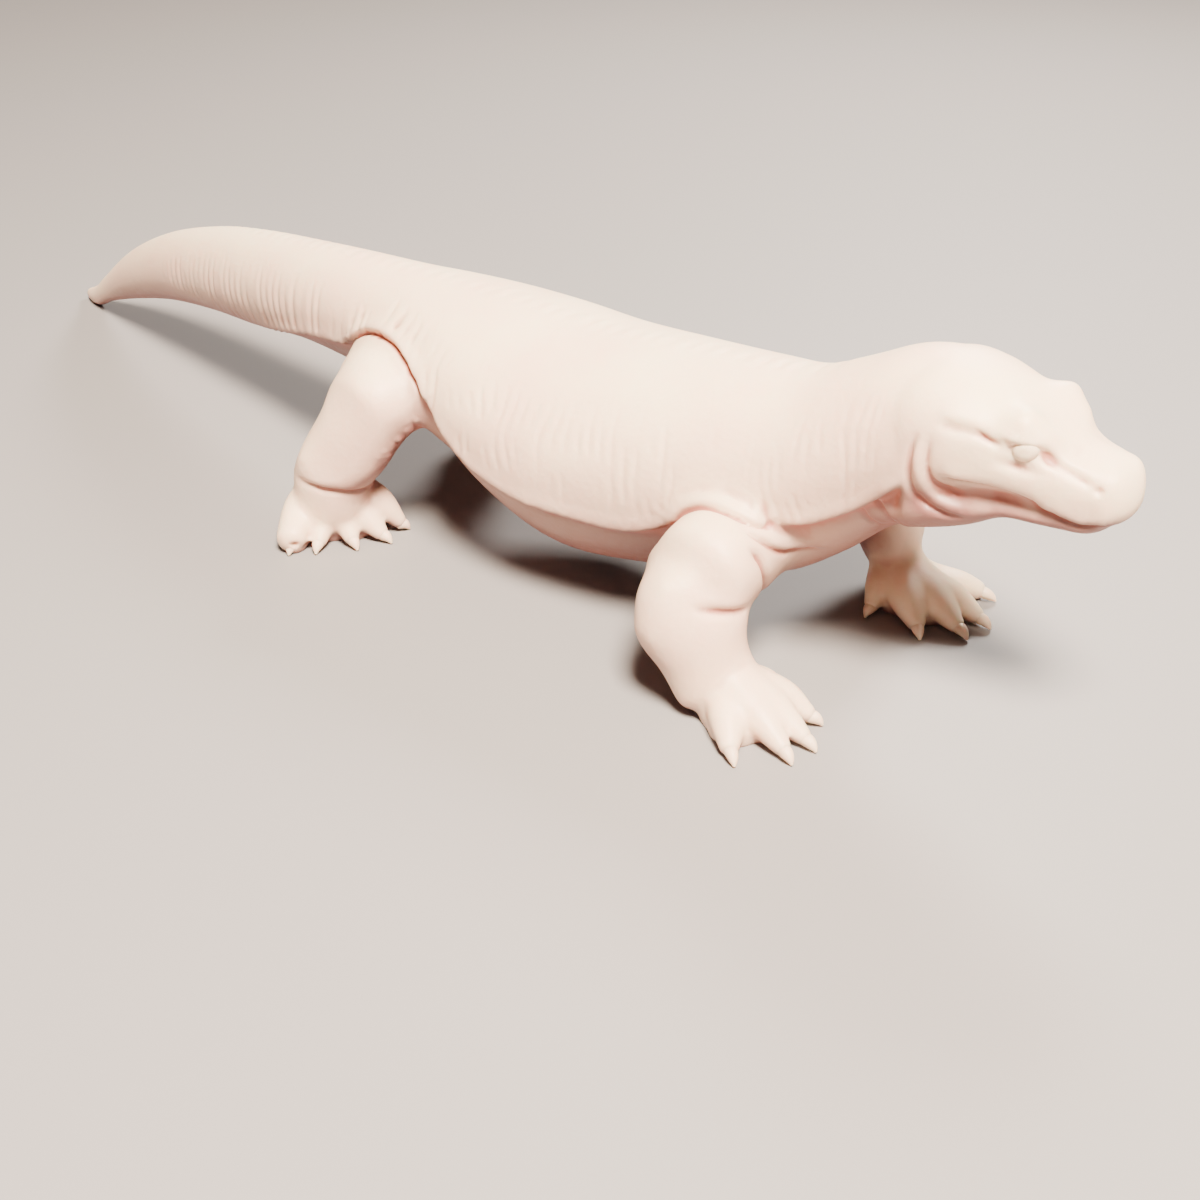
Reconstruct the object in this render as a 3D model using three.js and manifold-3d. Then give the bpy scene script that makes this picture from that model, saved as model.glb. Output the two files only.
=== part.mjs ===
// Komodo dragon figurine: a small one-colour cast lizard standing on four feet, tail tip on the table.
// Millimetres. +X points to the snout, +Y to the animal's left, +Z up, and the soles are at z = 0.
import * as THREE from 'three';
import { mergeVertices } from 'three/addons/utils/BufferGeometryUtils.js';
import Module from 'manifold-3d';

// ---- driving dimensions ----

const GAP = 0.3; // clear slit between neighbouring pieces
const ROOM = 400; // side of the large blocks that cut pieces apart

const HEAD_CUT = 38.5; // stations along the body where it is divided
const NECK_CUT = 22;
const HIP_CUT = -29;
const TAIL_CUTS = [-56, -84];

const BELLY_INSET = 0.7; // how far the belly skin lies inside the flank fold

// Body sections from the tail tip to inside the head: x, y of the middle, half width, top, bottom.
const BODY = [
  [-114.2, 11.2, 0.9, 2.2, -0.1],
  [-108, 10.3, 2.0, 6.8, 2.3],
  [-98, 8.8, 3.2, 13.3, 5.6],
  [-86, 6.9, 4.2, 18.8, 8.9],
  [-73, 4.8, 4.9, 22.8, 11.2],
  [-61, 2.8, 5.4, 25.3, 12.6],
  [-50, 1.2, 5.8, 26.9, 14.0],
  [-40, 0.2, 6.5, 28.0, 14.2],
  [-31, 0, 8.0, 28.4, 13.8],
  [-25, 0, 9.8, 28.6, 13.8],
  [-18, 0, 12.3, 28.7, 10.8],
  [-10, 0, 14.2, 28.7, 6.2],
  [-1, 0, 14.6, 28.6, 3.2],
  [9, 0, 13.4, 29.3, 4.4],
  [19, 0, 11.5, 30.2, 7.4],
  [25.5, 0, 10.0, 31.1, 9.5],
  [31, 0, 8.8, 33.6, 13.2],
  [35.5, 0, 8.0, 35.9, 17.2],
  [38.5, 0, 7.8, 36.8, 18.9],
  [41, 0, 7.7, 37.0, 19.8],
];

// The flank fold, seen from the side: x, z. The belly and throat lie below it.
const FOLD = [
  [-30, 17.0],
  [-24, 20.4],
  [-18, 18.6],
  [-10, 15.6],
  [-2, 13.8],
  [6, 13.6],
  [14, 15.4],
  [22, 18.4],
  [30, 19.9],
  [35, 22.3],
  [40, 26.2],
];

// Upper head and lower jaw, in the same five columns.
const HEAD = [
  [36, 0, 7.7, 36.1, 21.0],
  [40, 0, 7.8, 36.9, 21.6],
  [43.5, 0, 7.4, 36.2, 24.4],
  [47, 0, 6.5, 35.0, 25.8],
  [50.5, 0, 5.5, 33.6, 26.0],
  [54, 0, 4.5, 32.1, 25.2],
  [56.6, 0, 3.6, 31.2, 25.0],
];
const JAW = [
  [36, 0, 7.2, 28, 18.4],
  [41, 0, 6.8, 27.5, 19.8],
  [45, 0, 6.0, 27, 21.2],
  [49, 0, 4.8, 26.6, 23.7],
  [53, 0, 3.6, 26.2, 24.3],
  [55.4, 0, 2.6, 26.0, 24.6],
];

const BROW = { from: [47, 4.2, 33.5], to: [50.3, 3.9, 33.2], radius: 1.5 };
const EYE = { at: [50.4, 4.25, 31.7], radius: 1.5 };

// Limbs as sections: x, distance from the mid-plane, z, fore-aft radius, sideways radius. splay turns the
// long way of the lower limb's section. toes holds heading in degrees, positive outwards, and reach.
const HIND = {
  pieces: ['thigh', 'shank', 'foot'],
  splay: 0,
  upper: [
    [-26, 6, 17.6, 5.8, 5.4],
    [-24.2, 11.4, 18, 6.2, 5.4],
    [-22.4, 14.6, 16.6, 5.6, 4.8],
  ],
  lower: [
    [-23.4, 14.6, 15.4, 5.0, 4.3],
    [-26.9, 15.2, 12.2, 5.2, 4.2],
    [-29.3, 14.9, 9.2, 5.1, 4.3],
  ],
  instep: [
    [-30.0, 14.6, 7.4, 4.9, 4.4],
    [-30.2, 14.7, 4.8, 5.6, 5.1],
    [-30.3, 14.9, 2.4, 6.2, 5.7],
  ],
  sole: { x: -31.2, y: 15.0, radius: 5.2, height: 3.6 },
  toes: [[-34, 9.3], [-10, 8.9], [18, 7.2], [56, 6.9], [78, 7.6]],
};
const FRONT = {
  pieces: ['upper_arm', 'forearm', 'hand'],
  splay: 40,
  upper: [
    [22.8, 6, 14.0, 5.0, 5.0],
    [23.2, 11.4, 14.2, 5.4, 5.3],
    [23.4, 15, 14.2, 5.6, 5.2],
  ],
  lower: [
    [22.2, 15.8, 12.4, 5.0, 4.2],
    [24.0, 16.6, 8.4, 4.9, 4.0],
    [26.1, 16.4, 5.2, 4.1, 3.7],
    [27.8, 16.1, 3.4, 4.0, 3.7],
  ],
  sole: { x: 29.6, y: 15.9, radius: 4.9, height: 3.4 },
  toes: [[-80, 6.4], [-33, 8.5], [2, 9.2], [20, 9.1], [58, 8.4]],
};

// The four feet. side is -1 on the right; limb and sole are shifts [ahead, outwards]; turn and stretch
// swing and lengthen the toes.
const FEET = [
  { name: 'front_right', kind: FRONT, side: -1, limb: 0, sole: [0, 0], turn: 0, stretch: 1 },
  { name: 'front_left', kind: FRONT, side: 1, limb: 0.6, sole: [1, -0.8], turn: -24, stretch: 1.1 },
  { name: 'hind_right', kind: HIND, side: -1, limb: 0, sole: [0, 0], turn: 0, stretch: 1 },
  { name: 'hind_left', kind: HIND, side: 1, limb: -1, sole: [-1, 0], turn: 0, stretch: 1 },
];

// A toe runs from near the middle of the sole, at height rise, to a round tip; a claw grows out of it.
const TOE = { start: 1.5, rise: 2.7, radius: 2.5, tipRadius: 1.7, sink: 0.2 };
const CLAW = { length: 2.0, radius: 1.1, tipRadius: 0.25, inside: 0.9, clearance: 0.05 };

// Rings and cap rings of each kind of tube, and how far its rounded ends reach past the last sections.
const TUBES = {
  body: { sides: 20, rings: 36, capRings: 3, capStart: 1.6, capEnd: 2 },
  skull: { sides: 22, rings: 10, capRings: 3, capStart: 2, capEnd: 2.9, boxy: 0.86 },
  jaw: { sides: 14, rings: 8, capRings: 3, capStart: 2, capEnd: 1.8 },
  brow: { sides: 8, rings: 1, capRings: 2, capStart: 2.1, capEnd: 1.5 },
  upper: { sides: 12, rings: 5, capRings: 2, capStart: 2.5, capEnd: 2.2 },
  lower: { sides: 12, rings: 6, capRings: 2, capStart: 2.5, capEnd: 2.2 },
  instep: { sides: 12, rings: 3, capRings: 2, capStart: 2.5, capEnd: 2.2 },
};
const TOE_SIDES = 6;
const CLAW_SIDES = 5;
const EYE_SIDES = 8;
const SOLE = { rows: 8, middle: 0.45 }; // the dome's middle, in parts of its height
const FOLD_STEPS = 24;

// ---- material ----

function resin() {
  return new THREE.MeshStandardMaterial({ color: '#f6e9dd', roughness: 0.5, metalness: 0 });
}

// ---- solids ----

const wasm = await Module();
wasm.setup();

function toSolid(geometry) {
  const bare = geometry.clone();
  bare.deleteAttribute('normal');
  bare.deleteAttribute('uv');
  const merged = mergeVertices(bare, 1e-4);
  return new wasm.Manifold(new wasm.Mesh({
    numProp: 3,
    vertProperties: new Float32Array(merged.attributes.position.array),
    triVerts: new Uint32Array(merged.index.array),
  }));
}

function toMesh(name, solid) {
  const { vertProperties, triVerts } = solid.getMesh();
  const geometry = new THREE.BufferGeometry();
  geometry.setAttribute('position', new THREE.BufferAttribute(vertProperties, 3));
  geometry.setIndex(new THREE.BufferAttribute(triVerts, 1));
  const mesh = new THREE.Mesh(geometry, resin());
  mesh.name = name;
  return mesh;
}

// A block that fills x from low to high.
function slabX(low, high) {
  const block = new THREE.BoxGeometry(high - low, ROOM, ROOM);
  block.translate((low + high) / 2, 0, 0);
  return toSolid(block);
}

// Everything above the table.
function aboveTable() {
  const block = new THREE.BoxGeometry(ROOM, ROOM, ROOM);
  block.translate(0, 0, ROOM / 2);
  return toSolid(block);
}

// Everything below the flank fold, lowered by a drop.
function belowFold(drop) {
  const fold = new THREE.SplineCurve(FOLD.map(([x, z]) => new THREE.Vector2(x, z - drop)));
  const points = fold.getPoints(FOLD_STEPS);
  const outline = [
    new THREE.Vector2(-ROOM, -ROOM),
    new THREE.Vector2(-ROOM, points[0].y),
    ...points,
    new THREE.Vector2(ROOM, points[FOLD_STEPS].y),
    new THREE.Vector2(ROOM, -ROOM),
  ];
  const sheet = new THREE.ExtrudeGeometry(new THREE.Shape(outline), { depth: ROOM, bevelEnabled: false });
  sheet.rotateX(Math.PI / 2);
  sheet.translate(0, ROOM / 2, 0);
  return toSolid(sheet);
}

// A cosine or sine bent towards a square section when boxy is under 1.
function bent(value, boxy) {
  return Math.sign(value) * Math.abs(value) ** boxy;
}

// A closed tube with rounded ends through sections { at, side, up }, its radii sideways and upwards. A
// capsule is re-posed along the curve through the middles. Sections stand upright across +X, unless
// sideways says which way their side radius points.
function loft(sections, tube, grow = 0, sideways = null) {
  const { sides, rings, capRings, capStart, capEnd, boxy = 1 } = tube;
  const middles = new THREE.CatmullRomCurve3(sections.map((section) => section.at));
  const sizes = sections.map(({ side, up }) => new THREE.Vector3(side, up, 0));
  const radii = new THREE.CatmullRomCurve3(sizes, false, 'catmullrom', 0.5);
  const capsule = new THREE.CapsuleGeometry(1, 1, capRings, sides, rings);
  const points = capsule.attributes.position;
  const point = new THREE.Vector3();
  const sideAxis = new THREE.Vector3(0, -1, 0);
  const upAxis = new THREE.Vector3(0, 0, 1);
  for (let i = 0; i < points.count; i++) {
    point.fromBufferAttribute(points, i);
    const along = THREE.MathUtils.clamp(point.y + 0.5, 0, 1);
    const cap = point.y > 0 ? capEnd : capStart;
    const past = (point.y + 0.5 - along) * (cap + grow);
    const reach = Math.hypot(point.x, point.z);
    const angle = Math.atan2(point.z, point.x);
    const radius = radii.getPoint(along);
    const tangent = middles.getTangent(along);
    if (sideways) {
      sideAxis.copy(sideways).addScaledVector(tangent, -sideways.dot(tangent)).normalize();
      upAxis.crossVectors(sideAxis, tangent);
    }
    const offSide = bent(Math.cos(angle), boxy) * reach * (radius.x + grow);
    const offUp = bent(Math.sin(angle), boxy) * reach * (radius.y + grow);
    point.copy(middles.getPoint(along)).addScaledVector(tangent, past);
    point.addScaledVector(sideAxis, offSide).addScaledVector(upAxis, offUp);
    points.setXYZ(i, point.x, point.y, point.z);
  }
  return toSolid(capsule);
}

// Sections of the body, head and jaw from rows of x, y, half width, top, bottom.
function upright(rows, inset = 0) {
  return rows.map(([x, y, half, top, bottom]) => ({
    at: new THREE.Vector3(x, y, (top + bottom) / 2),
    side: half - inset,
    up: (top - bottom) / 2,
  }));
}

function ball(at, radius) {
  const sphere = new THREE.SphereGeometry(radius, EYE_SIDES, EYE_SIDES - 2);
  sphere.translate(...at);
  return toSolid(sphere);
}

// ---- body, head and jaw ----

function bodyPieces() {
  const body = loft(upright(BODY), TUBES.body);
  const inner = loft(upright(BODY, BELLY_INSET), TUBES.body);
  const half = GAP / 2;
  const trunkLength = slabX(HIP_CUT + half, NECK_CUT - half);
  const neckLength = slabX(NECK_CUT + half, HEAD_CUT - half);
  const fold = belowFold(0);
  const underside = belowFold(GAP);
  return {
    trunk: body.intersect(trunkLength).subtract(fold),
    belly: inner.intersect(trunkLength).intersect(underside),
    neck: body.intersect(neckLength).subtract(fold),
    throat: inner.intersect(neckLength).intersect(underside),
    tail_base: body.intersect(slabX(TAIL_CUTS[0] + half, HIP_CUT - half)),
    tail_middle: body.intersect(slabX(TAIL_CUTS[1] + half, TAIL_CUTS[0] - half)),
    tail_tip: body.intersect(slabX(-ROOM, TAIL_CUTS[1] - half)).intersect(aboveTable()),
  };
}

function skull(grow) {
  let head = loft(upright(HEAD), TUBES.skull, grow);
  for (const side of [1, -1]) {
    const ridge = [BROW.from, BROW.to].map(([x, y, z]) => ({
      at: new THREE.Vector3(x, side * y, z),
      side: BROW.radius,
      up: BROW.radius,
    }));
    head = head.add(loft(ridge, TUBES.brow, grow));
  }
  return head;
}

function headPieces() {
  const front = slabX(HEAD_CUT + GAP / 2, ROOM);
  const pieces = {
    head: skull(0).intersect(front),
    lower_jaw: loft(upright(JAW), TUBES.jaw).intersect(front).subtract(skull(GAP)),
  };
  for (const [name, side] of [['eye_left', 1], ['eye_right', -1]]) {
    const at = [EYE.at[0], side * EYE.at[1], EYE.at[2]];
    pieces.head = pieces.head.subtract(ball(at, EYE.radius + GAP));
    pieces[name] = ball(at, EYE.radius);
  }
  return pieces;
}

// ---- limbs ----

function limbTube(rows, tube, foot, splay, grow) {
  const sections = rows.map(([x, y, z, foreAft, across]) => ({
    at: new THREE.Vector3(x + foot.limb, foot.side * y, z),
    side: foreAft,
    up: across,
  }));
  const angle = THREE.MathUtils.degToRad(splay);
  const sideways = new THREE.Vector3(Math.cos(angle), -foot.side * Math.sin(angle), 0);
  return loft(sections, tube, grow, sideways);
}

// A toe or claw: a tapering finger between two points.
function finger(from, to, radiusFrom, radiusTo, sides, capRings, grow = 0) {
  const sections = [
    { at: from, side: radiusFrom, up: radiusFrom },
    { at: to, side: radiusTo, up: radiusTo },
  ];
  const tube = { sides, rings: 1, capRings, capStart: radiusFrom, capEnd: radiusTo };
  return loft(sections, tube, grow, new THREE.Vector3(0, 0, 1));
}

// The domed pad under a foot, sunk a little so that the table cuts it flat, and the instep over it.
function footPad(foot, middle, grow) {
  const { sole, instep } = foot.kind;
  const dome = new THREE.SphereGeometry(1, TUBES.lower.sides, SOLE.rows);
  dome.scale(sole.radius + grow, sole.radius + grow, sole.height + grow);
  dome.translate(middle.x, middle.y, sole.height * SOLE.middle);
  const pad = toSolid(dome);
  return instep ? pad.add(limbTube(instep, TUBES.instep, foot, 0, grow)) : pad;
}

function soleMiddle({ kind, side, sole }) {
  return new THREE.Vector3(kind.sole.x + sole[0], side * (kind.sole.y + sole[1]), 0);
}

// The foot with its toes, and the claws.
function toePieces(foot, table) {
  const { kind, side, turn, stretch, name } = foot;
  const middle = soleMiddle(foot);
  const grownPad = footPad(foot, middle, GAP);
  const claws = {};
  let sole = footPad(foot, middle, 0);
  kind.toes.forEach(([heading, span], index) => {
    const angle = THREE.MathUtils.degToRad(heading + turn);
    const ahead = new THREE.Vector3(Math.cos(angle), side * Math.sin(angle), 0);
    const at = (distance, height) => middle.clone().addScaledVector(ahead, distance).setZ(height);
    const reach = span * stretch;
    const tipHeight = TOE.tipRadius - TOE.sink;
    const root = at(TOE.start, TOE.rise);
    const knuckle = at(reach - CLAW.length - TOE.tipRadius, tipHeight);
    const toe = (grow) => finger(root, knuckle, TOE.radius, TOE.tipRadius, TOE_SIDES, 2, grow);
    sole = sole.add(toe(0));
    const clawRoot = at(reach - CLAW.length - CLAW.inside, tipHeight);
    const clawTip = at(reach - CLAW.tipRadius, CLAW.tipRadius + CLAW.clearance);
    const claw = finger(clawRoot, clawTip, CLAW.radius, CLAW.tipRadius, CLAW_SIDES, 1);
    claws[`${name}_claw_${index + 1}`] = claw.subtract(toe(GAP)).subtract(grownPad).intersect(table);
  });
  return { sole, claws };
}

function legPieces(foot, body) {
  const { kind, name } = foot;
  const table = aboveTable();
  const [upperName, lowerName, footName] = kind.pieces.map((piece) => `${name}_${piece}`);
  const upper = (grow) => limbTube(kind.upper, TUBES.upper, foot, 0, grow);
  const lower = (grow) => limbTube(kind.lower, TUBES.lower, foot, kind.splay, grow);
  const { sole, claws } = toePieces(foot, table);
  return {
    [upperName]: upper(0).subtract(body),
    [lowerName]: lower(0).subtract(upper(GAP)).subtract(body).intersect(table),
    [footName]: sole.subtract(lower(GAP)).intersect(table),
    ...claws,
  };
}

// ---- the figurine ----

function groupOf(pieces) {
  const group = new THREE.Group();
  for (const [name, solid] of Object.entries(pieces)) group.add(toMesh(name, solid));
  return group;
}

const figurine = new THREE.Group();
figurine.add(groupOf(bodyPieces()), groupOf(headPieces()));
const grownBody = loft(upright(BODY), TUBES.body, GAP);
for (const foot of FEET) figurine.add(groupOf(legPieces(foot, grownBody)));

// The origin is the middle of the figurine's box, on the table.
const box = new THREE.Box3().setFromObject(figurine);
figurine.position.set(-(box.min.x + box.max.x) / 2, -(box.min.y + box.max.y) / 2, -box.min.z);

const komodoDragon = new THREE.Group();
komodoDragon.add(figurine);

export default komodoDragon;
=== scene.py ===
import math

import bmesh
import bpy
import numpy as np
from mathutils import Matrix, Vector, noise
from mathutils.bvhtree import BVHTree


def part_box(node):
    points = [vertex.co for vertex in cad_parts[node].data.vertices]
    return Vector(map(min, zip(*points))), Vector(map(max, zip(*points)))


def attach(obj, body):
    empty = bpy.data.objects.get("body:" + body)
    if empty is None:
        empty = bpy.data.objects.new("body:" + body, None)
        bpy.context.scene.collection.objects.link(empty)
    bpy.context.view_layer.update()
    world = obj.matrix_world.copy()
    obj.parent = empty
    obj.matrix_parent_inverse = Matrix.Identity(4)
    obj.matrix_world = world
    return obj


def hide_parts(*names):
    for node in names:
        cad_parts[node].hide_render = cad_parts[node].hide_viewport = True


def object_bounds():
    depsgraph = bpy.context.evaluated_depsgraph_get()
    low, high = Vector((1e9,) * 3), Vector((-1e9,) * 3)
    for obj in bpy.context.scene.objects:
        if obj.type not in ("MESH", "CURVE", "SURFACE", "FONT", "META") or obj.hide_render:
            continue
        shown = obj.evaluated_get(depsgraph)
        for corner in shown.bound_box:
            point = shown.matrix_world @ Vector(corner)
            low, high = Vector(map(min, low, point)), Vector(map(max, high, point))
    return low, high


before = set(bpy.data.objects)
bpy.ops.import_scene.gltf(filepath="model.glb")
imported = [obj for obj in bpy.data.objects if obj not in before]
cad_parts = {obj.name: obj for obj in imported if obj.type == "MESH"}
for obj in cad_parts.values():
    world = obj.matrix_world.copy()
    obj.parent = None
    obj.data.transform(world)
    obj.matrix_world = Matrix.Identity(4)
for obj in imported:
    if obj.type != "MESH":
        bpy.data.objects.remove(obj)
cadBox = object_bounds()

# The figurine is shaped in millimetres, nose towards +X, and placed on the frame at the end.
mm = 0.001
figure = {
    "snoutTip": 59.44,  # how far the nose reaches ahead of the middle of the belly
    "coreVoxel": 0.8,  # the body and limbs are joined roughly first and evened out
    "voxel": 0.27,  # fineness of the skin joined with the feet
    "mostTriangles": 190000,
}
headLow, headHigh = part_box("head")
placeX = headHigh.x / mm - figure["snoutTip"]
placeY = (headLow.y + headHigh.y) / 2 / mm
ontoFrame = Matrix.Scale(mm, 4) @ Matrix.Translation((placeX, placeY, 0))
print("frame loaded, figurine placed at", round(placeX, 2), round(placeY, 2))


cameraSetup = {
    "at": (106, -128.5, 95), "tiltDown": 31, "heading": 40,  # mm and degrees
    "lens": 50, "sensor": 36,  # mm
    "nearest": 0.01,  # metres
}


def addCamera(setup):
    data = bpy.data.cameras.new("tableCamera")
    data.lens = setup["lens"]
    data.sensor_width = setup["sensor"]
    data.clip_start = setup["nearest"]
    camera = bpy.data.objects.new("tableCamera", data)
    camera.location = ontoFrame @ Vector(setup["at"])
    camera.rotation_euler = (math.radians(90 - setup["tiltDown"]), 0, math.radians(setup["heading"]))
    bpy.context.scene.collection.objects.link(camera)
    bpy.context.scene.camera = camera


def addNode(tree, kind, settings=None, links=None):
    # settings and links are by socket name; a link is (node, output name)
    node = tree.nodes.new(kind)
    for name, value in (settings or {}).items():
        if name in node.inputs:
            node.inputs[name].default_value = value
        else:
            setattr(node, name, value)
    for name, (source, output) in (links or {}).items():
        tree.links.new(source.outputs[output], node.inputs[name])
    return node


def fromHex(code, alpha=1.0):
    channels = [int(code[k:k + 2], 16) / 255 for k in (1, 3, 5)]
    linear = [c / 12.92 if c <= 0.04045 else ((c + 0.055) / 1.055) ** 2.4 for c in channels]
    return (*linear, alpha)


def newMaterial(name):
    material = bpy.data.materials.new(name)
    material.use_nodes = True
    material.node_tree.nodes.clear()
    return material


floorSetup = {"size": 6.0, "colour": "#8a8684", "roughness": 0.6}  # size in metres


def paintedFloor(setup):
    # matt painted studio board: pale, even, only a soft sheen
    material = newMaterial("mattPaintedBoard")
    tree = material.node_tree
    shader = addNode(tree, "ShaderNodeBsdfPrincipled", {
        "Base Color": fromHex(setup["colour"]),
        "Roughness": setup["roughness"],
    })
    addNode(tree, "ShaderNodeOutputMaterial", links={"Surface": (shader, "BSDF")})
    return material


def addFloor(setup):
    bm = bmesh.new()
    bmesh.ops.create_grid(bm, x_segments=1, y_segments=1, size=setup["size"] / 2)
    mesh = bpy.data.meshes.new("floor")
    bm.to_mesh(mesh)
    bm.free()
    floor = bpy.data.objects.new("floor", mesh)
    floor.location.z = cadBox[0].z
    mesh.materials.append(paintedFloor(setup))
    bpy.context.scene.collection.objects.link(floor)


# places and sizes in mm; "room" is a wide, even light that reaches the far floor, the others are soft boxes
lightSetup = {
    "key": {"at": (160, -130, 345), "size": 100, "power": 9.4, "colour": "#ffeedc"},
    "room": {"at": (160, -130, 345), "spread": 14, "power": 5, "colour": "#ffeedc"},
    "fill": {"at": (60, -420, 120), "size": 400, "power": 0.12, "colour": "#f4f0ff"},
    "back": {"at": (-80, 280, 240), "size": 90, "power": 2.2, "colour": "#fff8f0"},
}
surroundings = {"colour": "#f2eeec", "strength": 0.05, "aim": (0, 0, 15)}


def addLights(lights, world):
    target = Vector(world["aim"])
    for name, setup in lights.items():
        if "spread" in setup:
            data = bpy.data.lights.new(name, "SUN")
            data.angle = math.radians(setup["spread"])
        else:
            data = bpy.data.lights.new(name, "AREA")
            data.size = setup["size"] * mm
        data.energy = setup["power"]
        data.color = fromHex(setup["colour"])[:3]
        lamp = bpy.data.objects.new(name, data)
        lamp.location = ontoFrame @ Vector(setup["at"])
        lamp.rotation_euler = (target - Vector(setup["at"])).to_track_quat("-Z", "Y").to_euler()
        bpy.context.scene.collection.objects.link(lamp)
    sky = bpy.data.worlds.new("softRoom")
    sky.use_nodes = True
    background = sky.node_tree.nodes["Background"]
    background.inputs["Color"].default_value = fromHex(world["colour"])
    background.inputs["Strength"].default_value = world["strength"]
    bpy.context.scene.world = sky


addCamera(cameraSetup)
addFloor(floorSetup)
addLights(lightSetup, surroundings)
print("camera, floor and lights made")


capReach = 0.96  # a cap stops just short of its pole, where a small flat face closes it


def spline(rows, count):
    # a smooth run of count rows through the given rows
    rows = np.array(rows, float)
    padded = np.vstack([2 * rows[0] - rows[1], rows, 2 * rows[-1] - rows[-2]])
    where = np.linspace(0, len(rows) - 1, count)
    leg = np.minimum(where.astype(int), len(rows) - 2)
    t = (where - leg)[:, None]
    a, b, c, d = (padded[leg + k] for k in range(4))
    return 0.5 * (2 * b + (c - a) * t + (2 * a - 5 * b + 4 * c - d) * t ** 2
                  + (3 * b - a - 3 * c + d) * t ** 3)


def sectionMatrix(centre, side, up, sideSize, upSize):
    along = side.cross(up)
    turn = Matrix((side * sideSize, up * upSize, along)).transposed().to_4x4()
    return Matrix.Translation(centre) @ turn


def sweepTube(rows, shape, sideways=None):
    # rows hold x, y, z of the middle, the side radius and the up radius; rounded caps close both ends
    run = spline(rows, shape["rings"])
    middles = [Vector(row[:3]) for row in run]
    last = len(run) - 1
    stops = []
    for k in range(shape["caps"], 0, -1):
        angle = k / shape["caps"] * math.pi / 2 * capReach
        stops.append((0, -shape["capStart"] * math.sin(angle), math.cos(angle)))
    stops += [(k, 0, 1) for k in range(len(run))]
    for k in range(1, shape["caps"] + 1):
        angle = k / shape["caps"] * math.pi / 2 * capReach
        stops.append((last, shape["capEnd"] * math.sin(angle), math.cos(angle)))
    poses = []
    for k, past, scale in stops:
        along = (middles[min(k + 1, last)] - middles[max(k - 1, 0)]).normalized()
        if sideways:
            side = (sideways - along * sideways.dot(along)).normalized()
            up = side.cross(along)
        else:
            side = Vector((0, -1, 0))
            up = Vector((0, 0, 1))
        poses.append(sectionMatrix(middles[k] + along * past, side, up, run[k][3] * scale, run[k][4] * scale))
    bm = bmesh.new()
    ring = bmesh.ops.create_circle(bm, cap_ends=True, segments=shape["sides"], radius=1)["verts"]
    boxy = shape.get("boxy", 1)
    for vert in ring:
        vert.co.x = math.copysign(abs(vert.co.x) ** boxy, vert.co.x)
        vert.co.y = math.copysign(abs(vert.co.y) ** boxy, vert.co.y)
    bmesh.ops.transform(bm, matrix=poses[0], verts=ring)
    edges = bm.edges[:]
    for before, pose in zip(poses, poses[1:]):
        made = bmesh.ops.extrude_edge_only(bm, edges=edges)["geom"]
        ring = {item for item in made if isinstance(item, bmesh.types.BMVert)}
        edges = [item for item in made if isinstance(item, bmesh.types.BMEdge)
                 and item.verts[0] in ring and item.verts[1] in ring]
        bmesh.ops.transform(bm, matrix=pose @ before.inverted(), verts=list(ring))
    bmesh.ops.edgeloop_fill(bm, edges=edges)
    bmesh.ops.recalc_face_normals(bm, faces=bm.faces)
    tube = bpy.data.meshes.new("tube")
    bm.to_mesh(tube)
    bm.free()
    return tube


def sweepInto(bm, *setup):
    tube = sweepTube(*setup)
    bm.from_mesh(tube)
    bpy.data.meshes.remove(tube)


# x, y, half width, top, bottom of the body from the tail tip to inside the head
bodyRows = [
    (-116.6, 11.9, 0.8, 1.9, 0.3), (-114.6, 11.4, 1.1, 2.7, 0), (-112, 10.9, 1.45, 4.0, 0.5),
    (-108, 10.3, 2.0, 6.8, 2.3), (-98, 8.8, 3.2, 13.3, 5.6),
    (-86, 6.9, 4.2, 18.8, 8.9), (-73, 4.8, 4.9, 22.8, 11.2), (-61, 2.8, 5.4, 25.3, 12.6),
    (-50, 1.2, 5.8, 26.9, 14.0), (-40, 0.2, 6.5, 28.0, 14.2), (-31, 0, 8.0, 28.4, 13.8),
    (-25, 0, 9.8, 28.6, 13.8), (-18, 0, 12.3, 28.7, 10.8), (-10, 0, 14.2, 28.7, 6.2),
    (-1, 0, 14.6, 28.6, 3.2), (9, 0, 13.4, 29.3, 4.4), (19, 0, 11.5, 30.2, 7.2),
    (25.5, 0, 10.0, 31.1, 9.1), (31, 0, 8.8, 33.6, 13.0), (35.5, 0, 8.0, 35.9, 17.2),
    (38.5, 0, 7.8, 36.8, 18.9), (41, 0, 7.7, 37.0, 19.8),
]
bodyShape = {"sides": 72, "rings": 180, "caps": 6, "capStart": 0.8, "capEnd": 2.0}

headRows = [
    (36, 0, 6.9, 34.9, 21.6), (40, 0, 7.75, 36.8, 21.6), (43.5, 0, 7.4, 36.6, 24.4), (47, 0, 6.5, 35.5, 25.8),
    (50.5, 0, 5.5, 33.9, 26.0), (54, 0, 4.5, 32.1, 25.2), (56.7, 0, 3.6, 31.2, 25.2),
]
headShape = {"sides": 64, "rings": 50, "caps": 8, "capStart": 2.0, "capEnd": 2.7, "boxy": 0.86}

jawRows = [
    (36, 0, 7.2, 28.0, 18.4), (41, 0, 6.8, 27.5, 19.8), (45, 0, 5.8, 27.0, 21.4), (48.5, 0, 4.7, 26.6, 23.4),
    (52, 0, 4.1, 26.6, 23.7), (55.0, 0, 3.4, 27.0, 23.7),
]
jawShape = {"sides": 48, "rings": 40, "caps": 6, "capStart": 2.0, "capEnd": 2.6}


def upright(rows):
    # rows of half width, top and bottom turned into middles and radii
    return [(x, y, (top + bottom) / 2, half, (top - bottom) / 2) for x, y, half, top, bottom in rows]


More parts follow.
